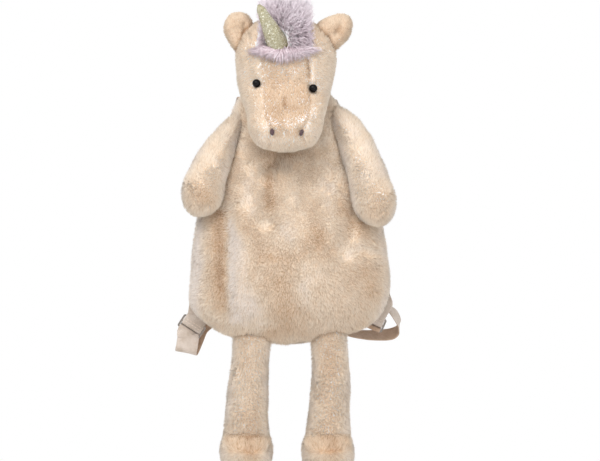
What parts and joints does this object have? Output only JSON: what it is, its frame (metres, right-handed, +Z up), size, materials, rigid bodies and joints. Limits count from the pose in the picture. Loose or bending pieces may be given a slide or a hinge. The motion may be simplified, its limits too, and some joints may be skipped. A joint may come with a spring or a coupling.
{
  "type": "kids animal backpack",
  "caption": "Soft plush unicorn backpack: a hollow bag with stuffed head, arms and legs, worn on the back by webbing shoulder straps.",
  "frame": {"origin": "inside top of the hanging loop behind the neck, where the bag hangs from a hook", "axes": "+Z up, +X to the right of someone facing the animal, the face looks along -Y and the wearer's back is on the +Y side"},
  "size_m": [0.2496, 0.1737, 0.5215],
  "materials": {
    "plush": "cream short-pile plush",
    "mane_fur": "long lilac fur",
    "horn_glitter": "green-gold glitter fabric",
    "eye_bead": "polished black",
    "webbing": "woven cotton",
    "slider_metal": "nickel plated",
    "zip": "woven tape with a closed coil"
  },
  "bodies": {
    "root": {"bag_shell": "plush", "zip": "zip", "head": "plush", "ear_left": "plush", "ear_right": "plush", "horn": "horn_glitter", "mane": "mane_fur", "eye_left": "eye_bead", "eye_right": "eye_bead", "arm_left": "plush", "arm_right": "plush", "leg_left": "plush", "foot_left": "plush", "leg_right": "plush", "foot_right": "plush", "slider_left": "slider_metal", "strap_left": "webbing", "strap_slack_left": "webbing", "slider_right": "slider_metal", "strap_right": "webbing", "strap_slack_right": "webbing", "hang_loop": "webbing"}
  },
  "joints": []
}
